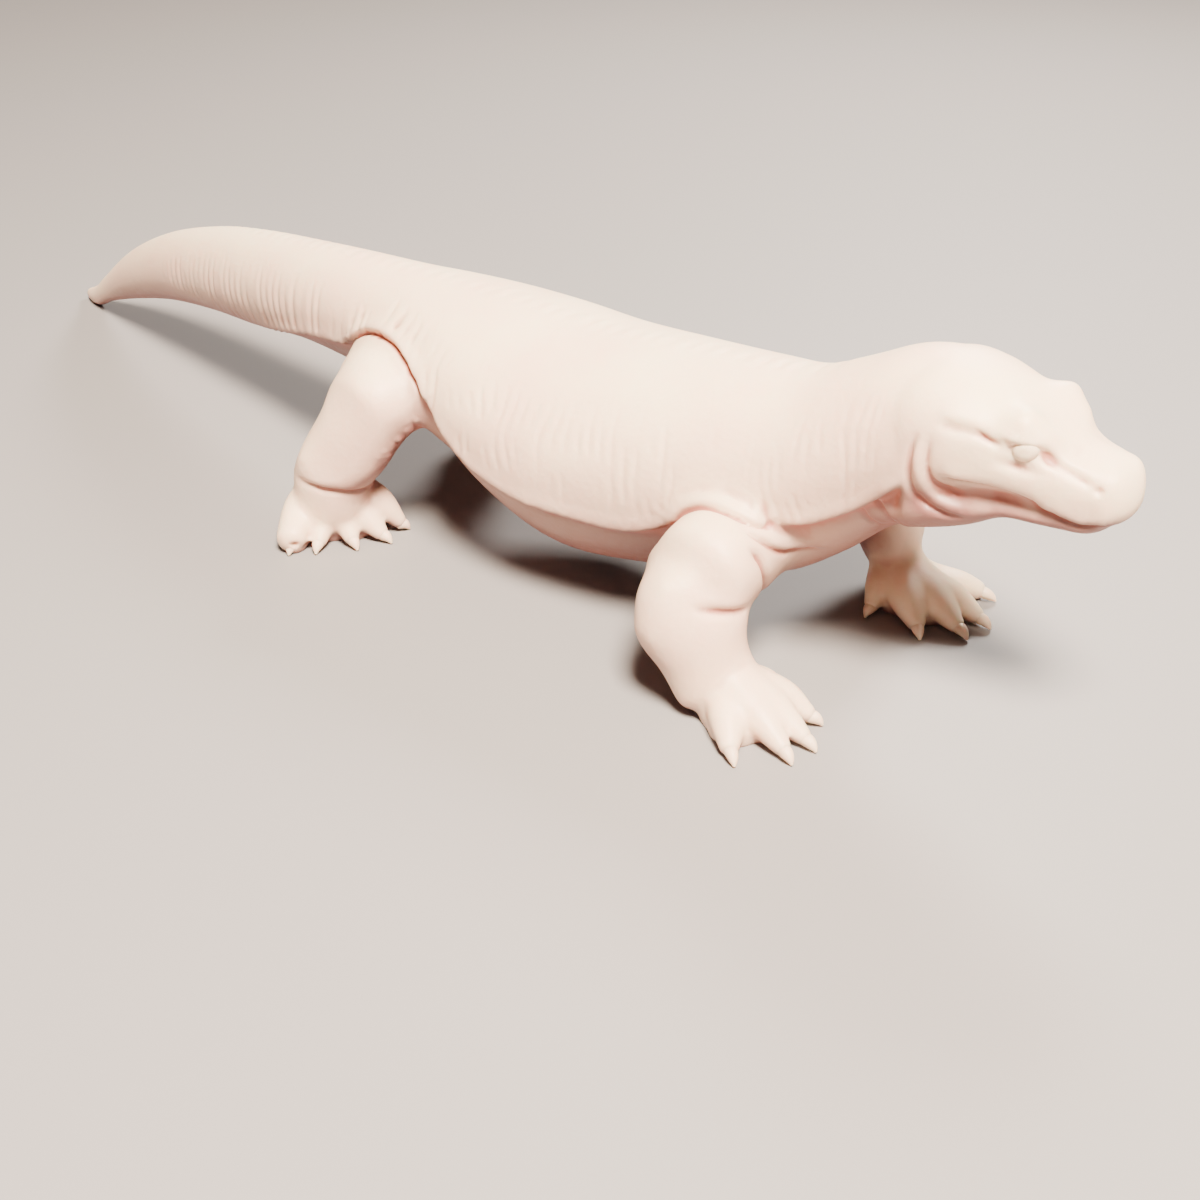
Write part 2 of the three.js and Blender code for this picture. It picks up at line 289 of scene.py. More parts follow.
def addBody(bm):
    sweepInto(bm, upright(bodyRows), bodyShape)
    sweepInto(bm, upright(headRows), headShape)
    sweepInto(bm, upright(jawRows), jawShape)


# x, distance from the mid-plane, z, fore-aft radius, sideways radius
hindLimb = {
    "splay": 0,
    "upper": [(-27, 5.5, 17.2, 7.4, 5.6), (-25.6, 8.6, 17.7, 6.6, 5.4), (-24.0, 11.6, 17.9, 5.6, 5.2),
              (-23.4, 14.4, 16.6, 4.8, 4.6)],
    "fill": [(-24.7, 11.5, 17.8, 5.5, 5.0), (-25.2, 14.2, 15.2, 5.4, 4.8), (-27.0, 15.1, 12.0, 5.4, 4.5)],
    "lower": [(-24.2, 14.7, 15.2, 4.7, 4.3), (-27.1, 15.2, 12.2, 5.2, 4.4), (-29.5, 15.2, 9.4, 5.3, 4.6)],
    "instep": [(-29.6, 15.3, 8.0, 5.0, 4.5), (-29.6, 15.4, 6.2, 4.9, 4.4), (-29.9, 15.5, 4.5, 4.6, 4.3),
               (-30.8, 15.4, 2.6, 3.4, 4.0)],
    "sole": (-31.2, 14.6),
    # x, distance from the mid-plane, z and radius at a toe's root, knuckle and end, then its claw's point
    "toes": [([(-28.0, 13.2, 5.6, 2.0), (-25.8, 11.9, 4.0, 1.8), (-24.2, 10.4, 1.3, 0.95)], (-23.4, 9.6)),
             ([(-28.6, 14.2, 5.4, 2.1), (-26.0, 13.9, 2.8, 1.75), (-23.9, 13.6, 1.1, 0.95)], (-22.5, 13.4)),
             ([(-29.2, 15.2, 5.4, 2.1), (-27.4, 15.9, 2.8, 1.75), (-25.6, 16.7, 1.1, 0.95)], (-24.3, 17.1)),
             ([(-30.0, 16.0, 5.4, 2.1), (-29.2, 17.6, 2.8, 1.75), (-28.0, 19.6, 1.1, 0.95)], (-27.3, 20.8)),
             ([(-32.1, 16.6, 5.0, 2.1), (-32.0, 18.4, 3.2, 2.3), (-30.0, 21.7, 1.6, 2.0)], (-29.5, 23.0))],
    # x, distance from the mid-plane, radius and height
    "pads": [(-31.0, 15.4, 3.6, 3.0), (-28.9, 16.2, 1.3, 2.0), (-27.4, 14.6, 1.4, 2.0),
             (-26.8, 13.0, 1.3, 2.0)],
    "evened": 30,  # rounds that soften the instep
}
frontLimb = {
    "splay": 40,
    "upper": [(22.8, 6, 14.0, 5.0, 5.0), (23.6, 11.4, 14.4, 5.3, 5.3), (23.4, 15, 14.2, 5.5, 5.2)],
    "fill": [(22.0, 13.6, 12.2, 5.5, 4.4), (21.4, 15.4, 12.0, 5.5, 4.4)],
    "lower": [(21.9, 15.9, 12.4, 5.5, 4.6), (23.9, 16.6, 9.2, 5.8, 4.2), (25.4, 16.5, 5.8, 4.5, 3.8),
              (27.0, 16.3, 3.2, 4.6, 3.2)],
    "instep": [],
    "sole": (29.6, 15.9),
    "toes": [([(27.6, 13.6, 3.0, 1.6), (29.4, 11.8, 2.4, 1.4), (30.3, 10.6, 1.3, 0.9)], (30.8, 9.5)),
             ([(29.0, 14.6, 3.6, 2.0), (32.6, 13.2, 2.4, 1.9), (35.2, 12.4, 1.2, 0.95)], (36.6, 11.9)),
             ([(29.6, 15.6, 3.9, 2.1), (33.6, 15.6, 2.4, 1.85), (37.0, 15.8, 1.1, 0.9)], (38.6, 16.0)),
             ([(29.4, 16.6, 3.9, 2.1), (33.1, 17.4, 2.4, 1.85), (36.5, 18.6, 1.1, 0.9)], (38.0, 19.2)),
             ([(28.8, 17.1, 2.8, 2.3), (30.7, 19.5, 2.0, 1.9), (32.5, 21.7, 1.1, 1.05)], (34.0, 22.9))],
    "pads": [(29.4, 15.7, 4.2, 3.3), (32.2, 15.7, 3.0, 2.6), (30.6, 18.2, 2.7, 2.3)],
    "evened": 6,
}
# shift moves a leg along x and sole moves its foot, in mm; turn is in degrees, and stretch widens the foot
feet = {
    "front_right": {"limb": frontLimb, "side": -1, "shift": 0, "sole": (0, 0), "turn": 0, "stretch": 1},
    "front_left": {"limb": frontLimb, "side": 1, "shift": 1.4, "sole": (1, -0.8), "turn": -24, "stretch": 1.1},
    "hind_right": {"limb": hindLimb, "side": -1, "shift": 0, "sole": (0, 0), "turn": 0, "stretch": 1},
    "hind_left": {"limb": hindLimb, "side": 1, "shift": -1, "sole": (-1, 0), "turn": 0, "stretch": 1},
}
limbShape = {"sides": 40, "rings": 24, "caps": 6, "capStart": 2.5, "capEnd": 2.2}
toeShape = {"sides": 24, "rings": 14, "caps": 5}
toeBlunt = 0.75  # length of a toe's rounded end, in radii
padShape = {"around": 32, "rings": 20, "sunk": 0.3}
clawShape = {
    "sides": 20, "rings": 12, "caps": 4, "capStart": 0.3, "capEnd": 0.18,
    # part of the way to the point, rise, radius
    "rows": [(0, 1.05, 0.72), (0.5, 0.9, 0.64), (0.82, 0.58, 0.42), (0.98, 0.28, 0.2)],
}


def limbRun(foot, rows, splay):
    side = foot["side"]
    placed = [(x + foot["shift"], side * y, z, a, b) for x, y, z, a, b in rows]
    angle = math.radians(splay)
    return placed, Vector((math.cos(angle), -side * math.sin(angle), 0))


def onFoot(foot, x, y):
    # a place given for a right foot, moved to where this foot stands and how it is turned
    soleX, soleY = foot["limb"]["sole"]
    angle = math.radians(foot["turn"])
    ahead, out = (x - soleX) * foot["stretch"], (y - soleY) * foot["stretch"]
    turnedX = soleX + foot["sole"][0] + ahead * math.cos(angle) - out * math.sin(angle)
    turnedY = soleY + foot["sole"][1] + ahead * math.sin(angle) + out * math.cos(angle)
    return Vector((turnedX, foot["side"] * turnedY, 0))


def addLimb(bm, foot):
    limb = foot["limb"]
    for part, splay in (("upper", 0), ("fill", 0), ("lower", limb["splay"]), ("instep", 0)):
        if limb[part]:
            rows, sideways = limbRun(foot, limb[part], splay)
            sweepInto(bm, rows, limbShape, sideways)


def addFoot(bm, foot):
    for x, y, radius, height in foot["limb"]["pads"]:
        pose = Matrix.Translation(onFoot(foot, x, y) + Vector((0, 0, height * padShape["sunk"])))
        size = Matrix.Diagonal((radius * foot["stretch"], radius * foot["stretch"], height, 1))
        bmesh.ops.create_uvsphere(bm, u_segments=padShape["around"], v_segments=padShape["rings"], radius=1,
                                  matrix=pose @ size)
    thick = foot["stretch"]
    for rows, tip in foot["limb"]["toes"]:
        rows = [(*onFoot(foot, x, y)[:2], z, radius * thick, radius * thick) for x, y, z, radius in rows]
        shape = dict(toeShape, capStart=rows[0][3], capEnd=rows[-1][3] * toeBlunt)
        sweepInto(bm, rows, shape, Vector((0, 0, 1)))


def newObject(name, mesh):
    made = bpy.data.objects.new(name, mesh)
    bpy.context.scene.collection.objects.link(made)
    return made


def applied(piece, name):
    # the piece's mesh with its modifiers worked in
    made = bpy.data.meshes.new_from_object(piece.evaluated_get(bpy.context.evaluated_depsgraph_get()))
    made.name = name
    bpy.data.objects.remove(piece)
    return made


def voxelled(bm, size, name):
    # everything in bm joined into one closed skin of small squares
    mesh = bpy.data.meshes.new("rough")
    bm.to_mesh(mesh)
    bm.free()
    rough = newObject("rough", mesh)
    voxels = rough.modifiers.new("voxels", "REMESH")
    voxels.mode = "VOXEL"
    voxels.voxel_size = size
    return applied(rough, name)


class Clay:
    # the skin's points and normals as arrays, with the moves that shape them

    def __init__(self, mesh):
        self.mesh = mesh
        self.points = np.empty((len(mesh.vertices), 3))
        mesh.vertices.foreach_get("co", self.points.ravel())
        self.edges = np.empty((len(mesh.edges), 2), int)
        mesh.edges.foreach_get("vertices", self.edges.ravel())
        self.links = np.bincount(self.edges.ravel(), minlength=len(self.points))
        self.refresh()

    def refresh(self):
        self.mesh.vertices.foreach_set("co", self.points.ravel())
        self.mesh.update()
        self.normals = np.empty((len(self.points), 3))
        self.mesh.vertex_normals.foreach_get("vector", self.normals.ravel())

    def cast(self):
        # keeps the surface as it is now, for finding ways over it
        faces = [tuple(polygon.vertices) for polygon in self.mesh.polygons]
        self.surface = BVHTree.FromPolygons([tuple(point) for point in self.points], faces)

    def averaged(self, values):
        # each value's mean over the neighbouring points
        a, b = self.edges.T
        if values.ndim == 1:
            total = np.bincount(a, values[b], len(values)) + np.bincount(b, values[a], len(values))
            return total / self.links
        return np.stack([self.averaged(column) for column in values.T], axis=1)

    def relax(self, rounds, weight=0.5):
        for _ in range(rounds):
            step = self.averaged(self.points) - self.points
            self.points += step * (weight[:, None] if np.ndim(weight) else weight)
        self.refresh()

    def push(self, amount):
        self.points += self.normals * amount[:, None]
        self.refresh()


def smoothStep(low, high, value):
    t = np.clip((value - low) / (high - low), 0, 1)
    return t * t * (3 - 2 * t)


def wobble(points, size, seed=0):
    # a smooth random value from -1 to 1 at each point, with patches about size across
    shift = Vector((seed * 17.3, seed * -9.1, seed * 5.7))
    return np.array([noise.noise(Vector(point) / size + shift) for point in points])


# Shapes on the right side, mirrored onto the left one. Sizes in mm.

def soften(clay, at, radius, rounds, sides=(-1, 1)):
    # evens out the skin round a place
    for side in sides:
        gap = np.linalg.norm(clay.points - np.array([at[0], side * at[1], at[2]]), axis=1)
        near = gap < radius
        a, b = clay.edges[near[clay.edges].all(axis=1)].T
        index = np.cumsum(near) - 1
        a, b = index[a], index[b]
        spots = clay.points[near]
        links = np.maximum(np.bincount(a, minlength=len(spots)) + np.bincount(b, minlength=len(spots)), 1)
        weight = 0.6 * (1 - smoothStep(radius * 0.5, radius * 0.97, gap[near]))[:, None]
        for _ in range(rounds):
            total = np.zeros_like(spots)
            for k in range(3):
                total[:, k] = np.bincount(a, spots[b, k], len(spots)) + np.bincount(b, spots[a, k], len(spots))
            spots += (total / links[:, None] - spots) * weight
        clay.points[near] = spots
    clay.refresh()


def bulge(clay, at, height, size, turn=0, sides=(-1, 1)):
    # a soft swelling, or a hollow when height is under 0; size is length, depth and height of the patch
    angle = math.radians(turn)
    for side in sides:
        off = clay.points - np.array([at[0], side * at[1], at[2]])
        along = off[:, 0] * math.cos(angle) + off[:, 2] * math.sin(angle)
        over = off[:, 2] * math.cos(angle) - off[:, 0] * math.sin(angle)
        clay.push(height * np.exp(-(along / size[0]) ** 2 - (off[:, 1] / size[1]) ** 2 - (over / size[2]) ** 2))


def crease(clay, way, depth, width, lip=0, lipWidth=0.6, droop=0, fade=0.2, sides=(-1, 1)):
    # a groove along a way over the skin. lip raises the edge on its upper side, and droop folds that edge down
    for side in sides:
        run = spline([(x, side * y, z) for x, y, z in way], 12 * len(way))
        found = [clay.surface.find_nearest(Vector(row)) for row in run]
        line = np.array([hit[0] for hit in found])
        facing = np.array([hit[1] for hit in found])
        onward = np.gradient(line, axis=0)
        upward = np.cross(onward, facing) * side
        upward /= np.maximum(np.linalg.norm(upward, axis=1), 1e-6)[:, None]
        reach = 3 * max(width, lipWidth) + lipWidth
        inside = (clay.points > line.min(0) - reach) & (clay.points < line.max(0) + reach)
        near = np.where(np.all(inside, axis=1))[0]
        gaps = np.linalg.norm(clay.points[near][:, None] - line[None], axis=2)
        nearest = gaps.argmin(axis=1)
        gap = gaps[np.arange(len(near)), nearest]
        part = nearest / (len(line) - 1)
        strength = smoothStep(0, fade, part) * smoothStep(0, fade, 1 - part)
        strength *= (np.sum(clay.normals[near] * facing[nearest], axis=1) > 0)
        above = np.sum((clay.points[near] - line[nearest]) * upward[nearest], axis=1)
        amount = -depth * np.exp(-(gap / width) ** 2)
        edge = np.exp(-((above - lipWidth) / lipWidth) ** 2) * np.exp(-np.maximum(gap - np.abs(above), 0))
        clay.points[near] += clay.normals[near] * ((amount + lip * edge) * strength)[:, None]
        clay.points[near] -= upward[nearest] * (droop * edge * strength * (above > 0))[:, None]
    clay.refresh()


bodyRun = spline(bodyRows, 400)


def onBody(points):
    # how far round and up a point lies on the body's section there, and how close it is to the body's skin
    middle, half, top, bottom = (np.interp(points[:, 0], bodyRun[:, 0], bodyRun[:, k]) for k in (1, 2, 3, 4))
    across = (points[:, 1] - middle) / half
    above = (2 * points[:, 2] - top - bottom) / (top - bottom)
    return across, above, 1 - smoothStep(1.05, 1.13, np.hypot(across, above))


# the core is the body and limbs without feet; its head and tail end are evened less than the rest
coreSetup = {
    "rounds": 6, "weight": 0.5, "head": (34, 44), "tail": (-100, -80), "held": 0.85,
    "evened": [  # place, radius and rounds
        ((-25.5, 18.0, 15.0), 6.5, 90),  # outer side of the knee
        ((-31.5, 14.5, 13.0), 6.0, 60),  # back of the knee
        ((19.0, 19.0, 12.5), 4.5, 20),  # elbow
        ((37.5, 0, 36.5), 7.0, 6),  # nape
        ((37.5, 8.0, 31.0), 5.0, 6),  # behind the cheek
    ],
}
footSoft = {
    "sole": {"ahead": 0, "out": 0, "up": 3.5, "radius": 7.5, "rounds": 10},
    "instep": {"ahead": 1.5, "out": 1, "up": 6.2, "radius": 5.8},
}


def cutFlat(clay):
    # the soles and the tail tip are cut flat by the table
    clay.points[:, 2] = np.maximum(clay.points[:, 2], 0)


bm = bmesh.new()
addBody(bm)
for foot in feet.values():
    addLimb(bm, foot)
coreMesh = voxelled(bm, figure["coreVoxel"], "core")
core = Clay(coreMesh)
alongCore = core.points[:, 0]
ends = np.maximum(smoothStep(*coreSetup["head"], alongCore), 1 - smoothStep(*coreSetup["tail"], alongCore))
core.relax(coreSetup["rounds"], coreSetup["weight"] * (1 - coreSetup["held"] * ends))
for at, radius, rounds in coreSetup["evened"]:
    soften(core, at, radius, rounds)
print("body and limbs joined:", len(core.points), "points")

bm = bmesh.new()
for foot in feet.values():
    addFoot(bm, foot)
addBody(bm)
bm.from_mesh(coreMesh)
skinMesh = voxelled(bm, figure["voxel"], "skin")
clay = Clay(skinMesh)
clay.relax(3)
for foot in feet.values():
    middle = onFoot(foot, *foot["limb"]["sole"])
    for patch in footSoft.values():
        at = (middle.x + patch["ahead"], abs(middle.y) + patch["out"], patch["up"])
        soften(clay, at, patch["radius"], patch.get("rounds", foot["limb"]["evened"]), [foot["side"]])
cutFlat(clay)
clay.relax(1)
cutFlat(clay)
print("skin joined:", len(clay.points), "points")

# x and z of the loose side skin's lower edge, from the tail over thigh, flank and shoulder to the jaw
skirtRows = [
    (-62, 13.6), (-49, 17.0), (-44, 18.4), (-38, 19.5), (-35, 20.1), (-32.3, 21.6), (-30.5, 22.8),
    (-28.7, 23.6), (-26.4, 23.9), (-23.6, 23.8), (-21.2, 23.2), (-19.4, 22.3), (-17.9, 21.3), (-16.5, 20.3),
    (-15, 19.2), (-12, 17.2), (-8, 15.2), (-2, 13.8), (6, 13.5), (11, 13.6), (14, 14.4), (17, 16.0),
    (20, 18.3), (22.5, 19.3), (25.5, 19.0), (28.5, 18.8), (31, 19.5), (33, 20.6), (35.5, 22.2), (38, 24.4),
    (40, 26.2),
]
skirtRun = spline(skirtRows, 600)
skirtSetup = {
    "recess": 1.3, "edge": 0.6, "droop": 0.45, "lip": 0.25, "lipWidth": 0.8, "scallop": 0.16,
    "start": (-64, -50), "scallopEnd": (-36, -32), "finish": (38.5, 40.5),  # x between which it fades
    "limbs": [(-33.5, -18), (17, 27)], "limbStart": 1.5, "limbEnd": 3.5,  # no edge where a limb joins
}
grooveSetup = {
    "depth": 0.2, "from": -86, "full": -76, "fading": -33, "to": -27,  # x along the tail
    "pitchBack": 1.3, "pitchFront": 1.9,
}


def tailPhase(x):
    # counts the grooves along the tail; they widen towards the hips
    span = grooveSetup["to"] - grooveSetup["from"]
    back, front = grooveSetup["pitchBack"], grooveSetup["pitchFront"]
    part = np.clip((x - grooveSetup["from"]) / span, 0, 1)
    return span * part / (back + (front - back) * part / 2)


def hangSkin(clay, setup):
    # the skin below the line is set back, and the edge above it swells and sags over it
    body = onBody(clay.points)[2]
    x, z = clay.points[:, 0], clay.points[:, 2]
    tailPart = smoothStep(*setup["start"], x)
    onTail = (1 - smoothStep(*setup["scallopEnd"], x)) * tailPart
    line = np.interp(x, skirtRun[:, 0], skirtRun[:, 1])
    uneven = 0.6 + 0.8 * wobble(clay.points * (1, 0, 0), 3, 5)
    line += setup["scallop"] * onTail * uneven * np.cos(2 * math.pi * tailPhase(x))
    past = z - line
    body = body * tailPart * (1 - smoothStep(*setup["finish"], x))
    for back, front in setup["limbs"]:
        joined = smoothStep(back, back + setup["limbStart"], x)
        body = body * (1 - joined * (1 - smoothStep(front, front + setup["limbEnd"], x)))
    under = smoothStep(0, setup["edge"], -past) * body
    clay.points[:, 1] -= clay.normals[:, 1] * setup["recess"] * under
    sideways = smoothStep(0.2, 0.4, np.abs(clay.normals[:, 1]))
    lip = np.exp(-((past - 0.3) / setup["lipWidth"]) ** 2) * body * sideways
    clay.points += clay.normals * (setup["lip"] * lip)[:, None]
    clay.points[:, 2] -= setup["droop"] * lip * smoothStep(-0.5, 0.2, past)
    clay.relax(3, 0.5 * body * np.exp(-(past / 1.2) ** 2))


def grooveTail(clay, setup):
    # rings round the sides of the tail, broken up in patches
    above, body = onBody(clay.points)[1:]
    x = clay.points[:, 0]
    phase = tailPhase(x) + 0.45 * wobble(clay.points * (1, 0.5, 0.5), 6, 3)
    wave = (0.5 + 0.5 * np.cos(2 * math.pi * (phase + 0.5))) ** 2
    past = clay.points[:, 2] - np.interp(x, skirtRun[:, 0], skirtRun[:, 1])
    band = smoothStep(-0.2, 0.8, past) * (1 - smoothStep(0.0, 0.8, above))
    ends = smoothStep(setup["from"], setup["full"], x) * (1 - smoothStep(setup["fading"], setup["to"], x))
    deeper = 0.8 + 0.4 * smoothStep(-70, -40, x)
    patchy = smoothStep(-0.6, 0.35, wobble(clay.points * (1, 1, 0.5), 3.2, 4)) * deeper
    clay.push(-setup["depth"] * wave * band * ends * body * patchy)


hangSkin(clay, skirtSetup)
print("loose side skin hung")

# each fold's way on the right side and its sizes, in mm
clay.cast()
for fold in (
    # over the thigh
    {"way": [(-37.0, 7.6, 19.2), (-34.5, 7.8, 20.1), (-32.3, 7.9, 21.7), (-30.6, 8.1, 22.8),
             (-28.7, 8.6, 23.6), (-26.2, 9.2, 23.9), (-23.6, 9.9, 23.8), (-21.4, 10.7, 23.2),
             (-19.4, 11.4, 22.3), (-17.2, 12.2, 20.9), (-15.0, 13.0, 19.2), (-12.4, 13.6, 17.4)],
     "depth": 0.8, "width": 0.42, "lip": 0.45, "lipWidth": 0.8, "droop": 0.4, "fade": 0.16},
    # over the shoulder
    {"way": [(16.6, 12.2, 14.4), (18.0, 12.0, 16.2), (19.4, 11.9, 17.8), (21.2, 12.0, 19.0),
             (23.2, 12.0, 19.4), (25.4, 11.7, 19.2), (27.6, 10.6, 18.7), (29.6, 9.7, 18.9)],
     "depth": 0.6, "width": 0.42, "lip": 0.28, "lipWidth": 0.8, "droop": 0.3, "fade": 0.22},
    # shoulder to chest
    {"way": [(25.4, 12.4, 18.9), (26.6, 12.0, 18.0), (27.8, 10.8, 16.9), (29.2, 8.9, 15.6), (30.6, 6.8, 14.3),
             (31.9, 4.8, 13.2)],
     "depth": 0.5, "width": 0.4, "lip": 0.3, "lipWidth": 0.7, "droop": 0.2, "fade": 0.3},
    {"way": [(27.0, 13.4, 17.4), (28.0, 12.2, 15.8), (28.3, 11.5, 14.2), (28.1, 10.8, 12.6), (27.4, 10.2, 11),
             (26.4, 9.4, 9.6)],
     "depth": 0.75, "width": 0.45},
    # front of the elbow
    {"way": [(24.8, 19.5, 12.7), (26.2, 18.2, 12.3), (27, 16.6, 11.9), (27.4, 14.5, 11.5),
             (27.2, 12.8, 11.1)],
     "depth": 0.65, "width": 0.55, "lip": 0.2, "lipWidth": 0.9, "droop": 0.2, "fade": 0.5},
    # above the foot
    {"way": [(-32.2, 18.9, 8.1), (-30.4, 19.3, 8.2), (-28.6, 19.4, 8.2), (-27.0, 19.1, 8.0),
             (-25.4, 18.1, 7.8), (-24.3, 16.6, 7.5), (-23.9, 14.8, 7.3), (-24.4, 12.8, 7.0)],
     "depth": 0.55, "width": 0.5, "lip": 0.15, "lipWidth": 0.9, "droop": 0.15, "fade": 0.35},
    # throat
    {"way": [(36.8, 6.6, 23.2), (37.4, 5.9, 22.0), (38.4, 4.6, 20.8), (39.2, 3, 20.2)],
     "depth": 0.5, "width": 0.32, "lip": 0.2},
    {"way": [(35.4, 6.2, 21.4), (35.7, 5.2, 19.8), (36.2, 3.6, 18.6)],
     "depth": 0.4, "width": 0.32, "lip": 0.12},
    # jaw corner
    {"way": [(41.4, 7.5, 32.2), (40.9, 7.6, 30), (40.8, 7.5, 27.6), (41.2, 7.2, 25.7), (42.4, 6.5, 24.4),
             (44.4, 6.0, 23.7), (46.4, 5.4, 23.5)],
     "depth": 0.5, "width": 0.36, "lip": 0.12, "fade": 0.2},
    {"way": [(42.7, 7.5, 32.3), (42.4, 7.6, 29.8), (42.6, 7.3, 27.9), (43.3, 6.7, 26.5), (44.6, 6.1, 25.9),
             (46.2, 5.5, 26.0)],
     "depth": 0.38, "width": 0.34, "fade": 0.2},
    {"way": [(41.8, 7.5, 31.4), (41.6, 7.7, 29.6), (41.8, 7.5, 27.4), (42.6, 6.8, 25.6), (44.3, 6.0, 24.8),
             (46.2, 5.6, 24.6)],
     "depth": -0.3, "width": 0.4, "fade": 0.25},
    # mouth
    {"way": [(43.4, 7.3, 27.5), (45.7, 7, 27.1), (49.2, 5.8, 26.6), (52.6, 4.8, 26.1), (55.4, 3.9, 25.5),
             (57.2, 3.0, 25.5), (58.3, 1.9, 25.7)],
     "depth": 0.5, "width": 0.3, "lip": 0.3, "lipWidth": 0.8, "droop": 0.2, "fade": 0.14},
    # temple
    {"way": [(42.4, 7.4, 32.9), (43.6, 7.2, 32.9), (44.8, 6.9, 32.8), (46.2, 6.4, 32.6), (47.6, 6.0, 32.3)],
     "depth": 0.34, "width": 0.55, "lip": 0.2, "lipWidth": 0.9, "fade": 0.35},
    # eye to nostril
    {"way": [(51.9, 5, 32.1), (53.0, 4.6, 31.4), (54.4, 4.1, 30.6), (55.8, 3.6, 29.8), (56.6, 3.3, 29.3)],
     "depth": 0.34, "width": 0.42, "lip": 0.12, "lipWidth": 0.7, "fade": 0.3},
):
    crease(clay, **fold)
print("folds pressed in")

# place, height, size and turn of each swelling or hollow
for at, height, size, turn in (
    ((49.5, 4.0, 33.6), 1.45, (1.6, 1.8, 1.6), -25),  # brow
    ((51.7, 3.9, 32.8), 0.6, (1.5, 1.8, 1.4), -35),
    ((54.2, 2.8, 31.9), -0.25, (1.5, 1.8, 1.2), 0),  # dip ahead of the brow
    ((57.6, 2.4, 30.2), 0.3, (1.5, 1.6, 1.3), 0),  # nose
    ((50.2, 5.8, 31.6), -0.45, (1.7, 2.0, 1.1), -8),  # eye socket
    ((50.2, 5.5, 30.2), -0.5, (1.7, 1.5, 0.55), -6),
    ((52.3, 4.7, 31.5), -0.6, (1.0, 1.5, 0.6), -30),
    ((50.0, 5.6, 32.75), 0.4, (1.7, 1.4, 0.45), -8),  # upper lid
    ((56.9, 3.3, 29.3), -0.5, (0.42, 1.0, 0.34), 0),  # nostril
):
    bulge(clay, at, height, size, turn)
bulge(clay, (-28.9, 22.5, 1.5), -0.8, (0.34, 0.6, 0.3), sides=[-1])  # casting pit in the outer toe
bulge(clay, (-28.6, 20.6, 1.2), -0.7, (0.5, 1.4, 1.4))  # the outer toe of a hind foot stands apart
bulge(clay, (32.4, 17.8, 4.8), -1.6, (3.0, 2.6, 2.2), sides=[1])  # the left hand is flatter on its outer side
eyeCorner = [(45.8, 6.6, 32.9), (46.8, 6.3, 32.5), (47.8, 6.1, 32.1), (48.8, 5.9, 31.9)]
crease(clay, eyeCorner, depth=0.5, width=0.3, fade=0.4)
print("head shaped")


# rows of short wrinkles: pitch and depth, where they lie along and up the body, and how broken they are
wrinkleSetup = {
    "neck": {"pitch": 1.15, "depth": 0.12, "along": (22, 27, 37, 40), "up": (-0.6, -0.1, 0.45, 0.8),
             "patch": 1.9},
    "flank": {"pitch": 1.45, "depth": 0.14, "along": (-26, -16, 18, 25), "up": (-0.3, 0.1, 0.4, 0.8),
              "patch": 2.3},
    "hip": {"pitch": 1.9, "depth": 0.19, "along": (-34, -30, -22, -17), "up": (0.1, 0.3, 0.6, 0.85),
            "patch": 2.4},
}
ridgeSetup = {"pitch": 2.3, "height": 0.1, "halfWidth": 1.6, "from": -80, "to": 34}
kneeSetup = {
    "way": [(-17.6, 11.8, 17.0), (-18.4, 12.8, 15.2), (-19.4, 13.8, 13.6), (-20.4, 15.0, 12.0)],
    "count": 36, "spread": 0.7, "height": 0.12, "sizes": (0.26, 0.42),
}


def wrinkle(clay, setup, seed):
    above, body = onBody(clay.points)[1:]
    x = clay.points[:, 0]
    back, front, low, high = setup["along"][:2], setup["along"][2:], setup["up"][:2], setup["up"][2:]
    mask = smoothStep(*back, x) * (1 - smoothStep(*front, x))
    mask = mask * smoothStep(*low, above) * (1 - smoothStep(*high, above))
    mask *= body
    near = np.where(mask > 0.01)[0]
    spots = clay.points[near]
    lean = 0.15 * spots[:, 2] + 0.9 * wobble(spots, 5, seed)
    wave = (0.5 + 0.5 * np.cos(2 * math.pi * (spots[:, 0] + lean) / setup["pitch"])) ** 2
    stretched = spots * (1, 1, 0.55)
    patchy = smoothStep(-0.25, 0.35, wobble(stretched, setup["patch"], seed + 1))
    amount = np.zeros(len(x))
    amount[near] = -setup["depth"] * wave * patchy * mask[near]
    clay.push(amount)


def bumpRidge(clay, setup):
    # low knobs along the middle of the back
    middle = np.interp(clay.points[:, 0], bodyRun[:, 0], bodyRun[:, 1])
    aside = (clay.points[:, 1] - middle) / setup["halfWidth"]
    x = clay.points[:, 0] + 0.6 * wobble(clay.points * (1, 0, 0), 4, 8)
    wave = 0.5 + 0.5 * np.cos(2 * math.pi * x / setup["pitch"])
    ends = smoothStep(setup["from"], setup["from"] + 20, x) * (1 - smoothStep(setup["to"] - 8, setup["to"], x))
    clay.push(setup["height"] * wave * ends * np.exp(-aside ** 2) * (clay.normals[:, 2] > 0.5))


def studKnee(clay, setup, draw):
    # small scales in a loose row along the edge of the knee
    for side in (-1, 1):
        run = spline([(x, side * y, z) for x, y, z in setup["way"]], setup["count"])
        for spot in run:
            at = Vector(spot) + Vector(draw.normal(0, setup["spread"], 3))
            hit = np.array(clay.surface.find_nearest(at)[0])
            size = draw.uniform(*setup["sizes"])
            gap = np.linalg.norm(clay.points - hit, axis=1)
            near = gap < 3 * size
            raised = setup["height"] * np.exp(-(gap[near] / size) ** 2)
            clay.points[near] += clay.normals[near] * raised[:, None]
    clay.refresh()


grooveTail(clay, grooveSetup)
for seed, setup in enumerate(wrinkleSetup.values()):
    wrinkle(clay, setup, 10 + 2 * seed)
bumpRidge(clay, ridgeSetup)
studKnee(clay, kneeSetup, np.random.default_rng(7))
print("wrinkles and knobs added")


